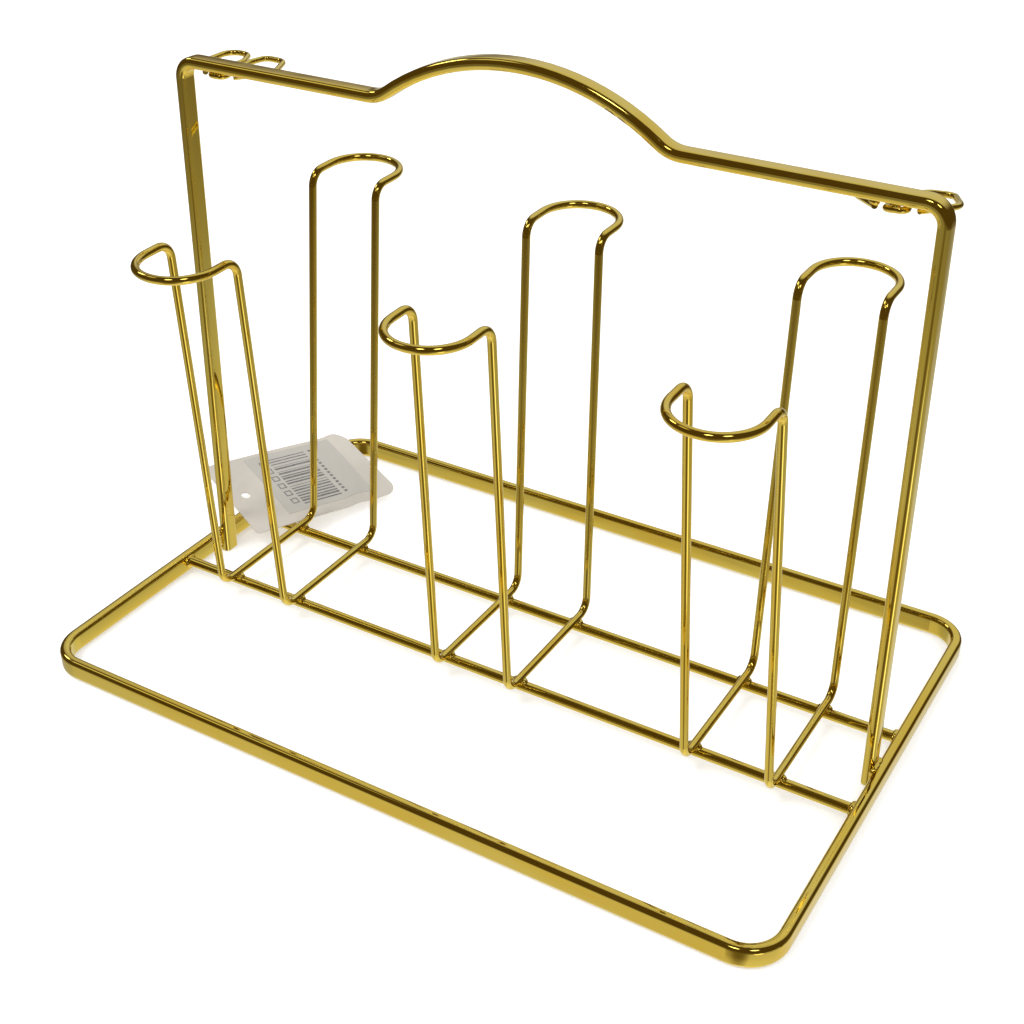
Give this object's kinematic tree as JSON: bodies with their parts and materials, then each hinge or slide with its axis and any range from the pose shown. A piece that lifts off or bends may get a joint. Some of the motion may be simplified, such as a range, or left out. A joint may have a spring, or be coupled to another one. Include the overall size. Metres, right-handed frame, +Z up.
{
  "type": "glass stand",
  "caption": "Tabletop stand for glasses stored upside down: a bar frame with a tall carrying handle, round rods, upright wire arms with C-shaped tops and small spoon hooks under the handle.",
  "frame": {"origin": "centre of the base frame's underside, on the surface that the stand rests on", "axes": "+Z up, +X along the base's length and the handle's span, +Y to the rear; the hang tag lies at -X +Y"},
  "size_m": [0.3115, 0.193, 0.2233],
  "materials": {
    "gold_plate": "mirror-bright gold-coloured plating on steel",
    "gold_weld": "bright gold-coloured plating over smooth weld beads",
    "card": "uncoated warm grey card",
    "label": "satin paper sticker with plain grey bars"
  },
  "bodies": {
    "root": {"base_frame": "gold_plate", "handle": "gold_plate", "front_rod": "gold_plate", "rear_rod": "gold_plate", "arm_wire_left": "gold_plate", "arm_wire_middle": "gold_plate", "arm_wire_right": "gold_plate", "spoon_hook_left": "gold_plate", "spoon_hook_right": "gold_plate", "hook_welds_left": "gold_weld", "hook_welds_right": "gold_weld", "crossing_welds": "gold_weld", "rod_end_welds": "gold_weld", "handle_foot_welds": "gold_weld", "tag_card": "card", "tag_label": "label"}
  },
  "joints": []
}
